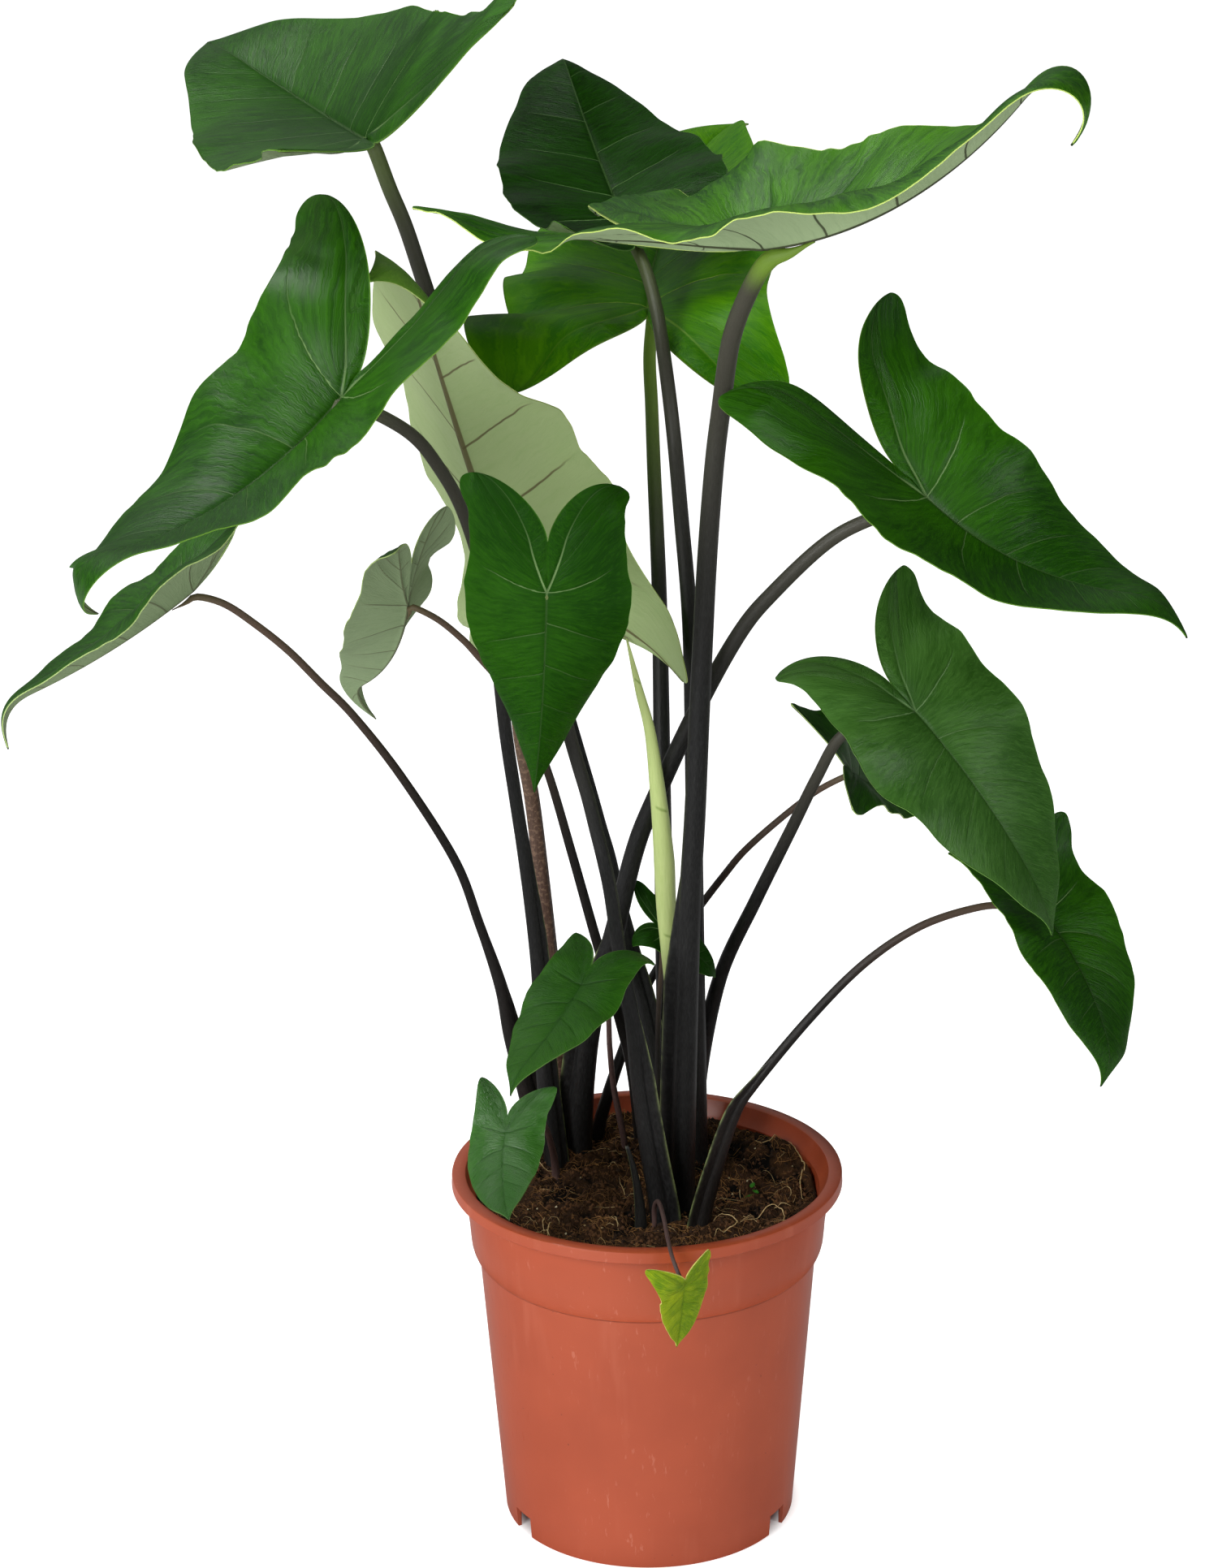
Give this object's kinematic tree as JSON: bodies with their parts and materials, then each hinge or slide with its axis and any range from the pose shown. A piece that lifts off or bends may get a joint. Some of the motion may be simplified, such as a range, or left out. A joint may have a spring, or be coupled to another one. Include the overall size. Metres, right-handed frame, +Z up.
{
  "type": "potted black zebrina alocasia",
  "caption": "Potted alocasia: arrow-shaped glossy leaves with wavy edges on long dark stalks, in a soil-filled terracotta-coloured plastic nursery pot that stands on the floor or a table.",
  "frame": {"origin": "centre of the whole plant's bounding box, on the surface the pot stands on", "axes": "+Z up along the pot's axis, -Y towards the side seen in the picture, +X to the right of that side"},
  "size_m": [0.5952, 0.5657, 0.8291],
  "materials": {
    "terracotta": "satin",
    "soil": "matte",
    "leaf_dark": "glossy",
    "leaf_bright": "glossy",
    "leaf_yellow": "satin",
    "stalk_black": "satin",
    "stalk_brown": "satin",
    "young_leaf": "satin"
  },
  "bodies": {
    "root": {"pot": "terracotta", "soil": "soil", "blade_centre_back": "leaf_dark", "blade_centre_front": "leaf_dark", "blade_far_left": "leaf_dark", "blade_left_front": "leaf_dark", "blade_left_inner": "leaf_dark", "blade_right_back": "leaf_dark", "blade_right_low": "leaf_dark", "blade_right_middle": "leaf_dark", "blade_right_upper": "leaf_dark", "blade_small_back": "leaf_dark", "blade_small_centre": "leaf_dark", "blade_small_left": "leaf_dark", "blade_smallest": "leaf_yellow", "blade_top_back": "leaf_bright", "blade_top_centre": "leaf_dark", "blade_top_left": "leaf_dark", "blade_top_right": "leaf_dark", "stalk_centre_back": "stalk_brown", "stalk_centre_front": "stalk_black", "stalk_far_left": "stalk_brown", "stalk_left_front": "stalk_black", "stalk_left_inner": "stalk_brown", "stalk_right_back": "stalk_brown", "stalk_right_low": "stalk_brown", "stalk_right_middle": "stalk_black", "stalk_right_upper": "stalk_black", "stalk_small_back": "stalk_brown", "stalk_small_centre": "stalk_brown", "stalk_small_left": "stalk_brown", "stalk_smallest": "stalk_brown", "stalk_top_back": "stalk_black", "stalk_top_centre": "stalk_black", "stalk_top_left": "stalk_black", "stalk_top_right": "stalk_black", "rolled_leaf": "young_leaf", "pointed_sheath": "stalk_black"}
  },
  "joints": []
}
